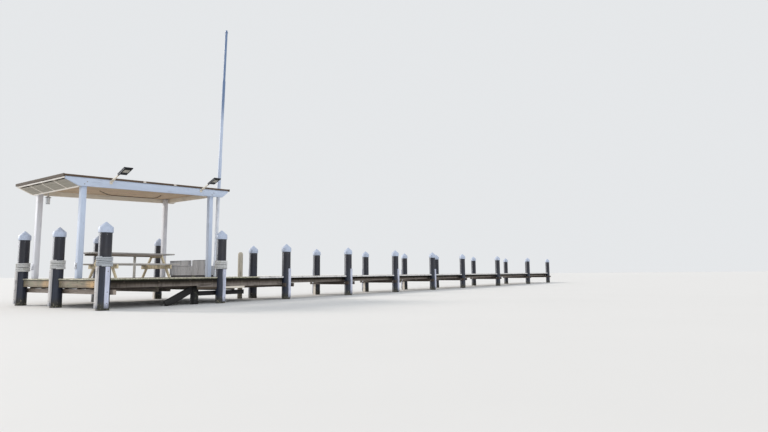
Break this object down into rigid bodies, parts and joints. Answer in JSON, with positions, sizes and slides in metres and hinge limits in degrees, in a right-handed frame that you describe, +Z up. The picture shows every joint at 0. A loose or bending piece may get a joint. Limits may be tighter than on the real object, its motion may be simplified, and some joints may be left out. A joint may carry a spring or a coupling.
{
  "type": "wooden jetty",
  "caption": "Wooden jetty on black sleeved piles with white caps: a platform with a roofed picnic shelter and flagpole, and a boarded walkway.",
  "frame": {"origin": "centre of the corner pile's foot at the waterline", "axes": "+X along the walkway towards the shore, +Y towards the far side, +Z up"},
  "size_m": [37.5046, 5.154, 9.9012],
  "materials": {
    "sleeve": "matt black pile sleeve, weathered",
    "cap": "pale weathered plastic",
    "strip": "pale pinkish weathered softwood",
    "rope": "worn laid rope",
    "dark_timber": "wet dark timber",
    "frame_timber": "rough sawn weathered timber",
    "deck_board": "grey weathered boards",
    "end_board": "yellow-brown mossy boards",
    "bare_timber": "pale bare timber",
    "painted_wood": "white paint, slightly worn",
    "ceiling_board": "tan stained boards",
    "roofing": "brown weathered covering",
    "lamp_metal": "grey paint",
    "lamp_glass": "clear",
    "pole_paint": "white paint, satin",
    "grey_timber": "grey weathered timber",
    "frame_yellow": "yellowish timber",
    "cleat_metal": "dull grey"
  },
  "bodies": {
    "root": {"corner_pile": "sleeve", "end_piles": "sleeve", "side_pile": "sleeve", "platform_far_piles": "sleeve", "platform_pile_caps": "cap", "platform_rub_strips": "strip", "rope_lashings": "rope", "stub_pile": "dark_timber", "low_brace": "dark_timber", "low_waling": "dark_timber", "platform_crossheads": "frame_timber", "platform_joists": "frame_timber", "platform_deck": "deck_board", "end_fascia": "end_board", "side_fascia": "dark_timber", "far_fascia": "dark_timber", "walkway_near_piles": "sleeve", "walkway_far_piles": "sleeve", "walkway_pile_caps": "cap", "walkway_rub_strips": "strip", "walkway_crossheads": "frame_timber", "walkway_stringers": "frame_timber", "deck_lake_bays": "deck_board", "deck_middle_bays": "deck_board", "deck_shore_bays": "deck_board", "mooring_post": "bare_timber", "shelter_posts": "painted_wood", "shelter_front_beam": "painted_wood", "shelter_far_beam": "painted_wood", "shelter_end_beams": "painted_wood", "shelter_rafters": "painted_wood", "shelter_ceiling": "ceiling_board", "shelter_roof": "roofing", "roof_lights": "lamp_metal", "shelter_lamp": "lamp_metal", "lamp_glass": "lamp_glass", "flagpole_foot": "lamp_metal", "flagpole_lower": "pole_paint", "flagpole_middle": "pole_paint", "flagpole_upper": "pole_paint", "table_top": "grey_timber", "table_seats": "grey_timber", "table_frames": "frame_yellow", "boarded_bench": "grey_timber", "post_cleats": "cleat_metal"}
  },
  "joints": []
}
